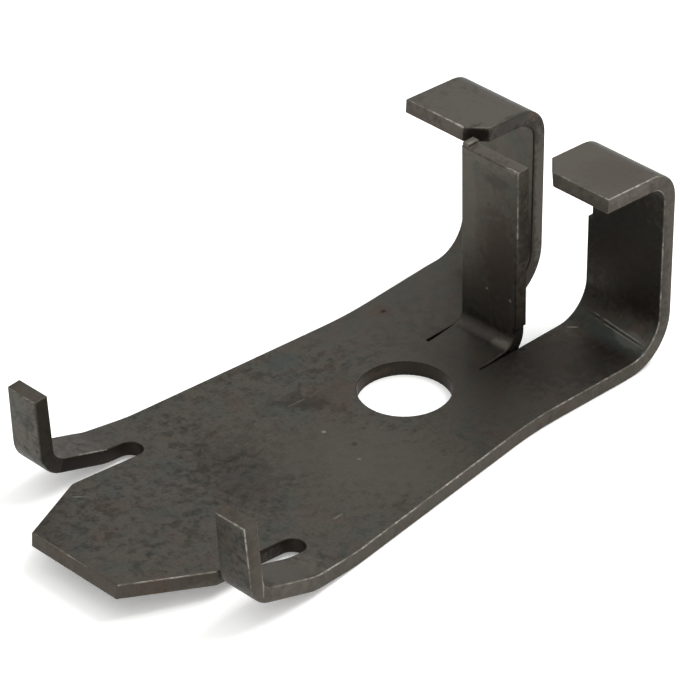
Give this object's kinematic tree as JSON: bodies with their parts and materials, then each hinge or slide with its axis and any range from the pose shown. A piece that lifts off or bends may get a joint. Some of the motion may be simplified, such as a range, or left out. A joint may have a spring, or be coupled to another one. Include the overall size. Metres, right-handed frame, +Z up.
{
  "type": "brake caliper bracket",
  "caption": "Stamped and folded sheet steel bracket with a bolt hole, a pair of hooks over the caliper side, an upright stop tab and upturned end tabs.",
  "frame": {"origin": "on the axis of the bolt hole, in the plane of the plate's underside", "axes": "+X along the plate towards the hooks, +Y to the left when looking towards the hooks, +Z up out of the bolting face, the way the hooks and tabs are bent"},
  "size_m": [0.1245, 0.0608, 0.0419],
  "materials": {
    "steel": "bare rolled steel, dull dark grey with brown and blue-green mottling and light scuffs"
  },
  "bodies": {
    "root": {"bracket": "steel"}
  },
  "joints": []
}
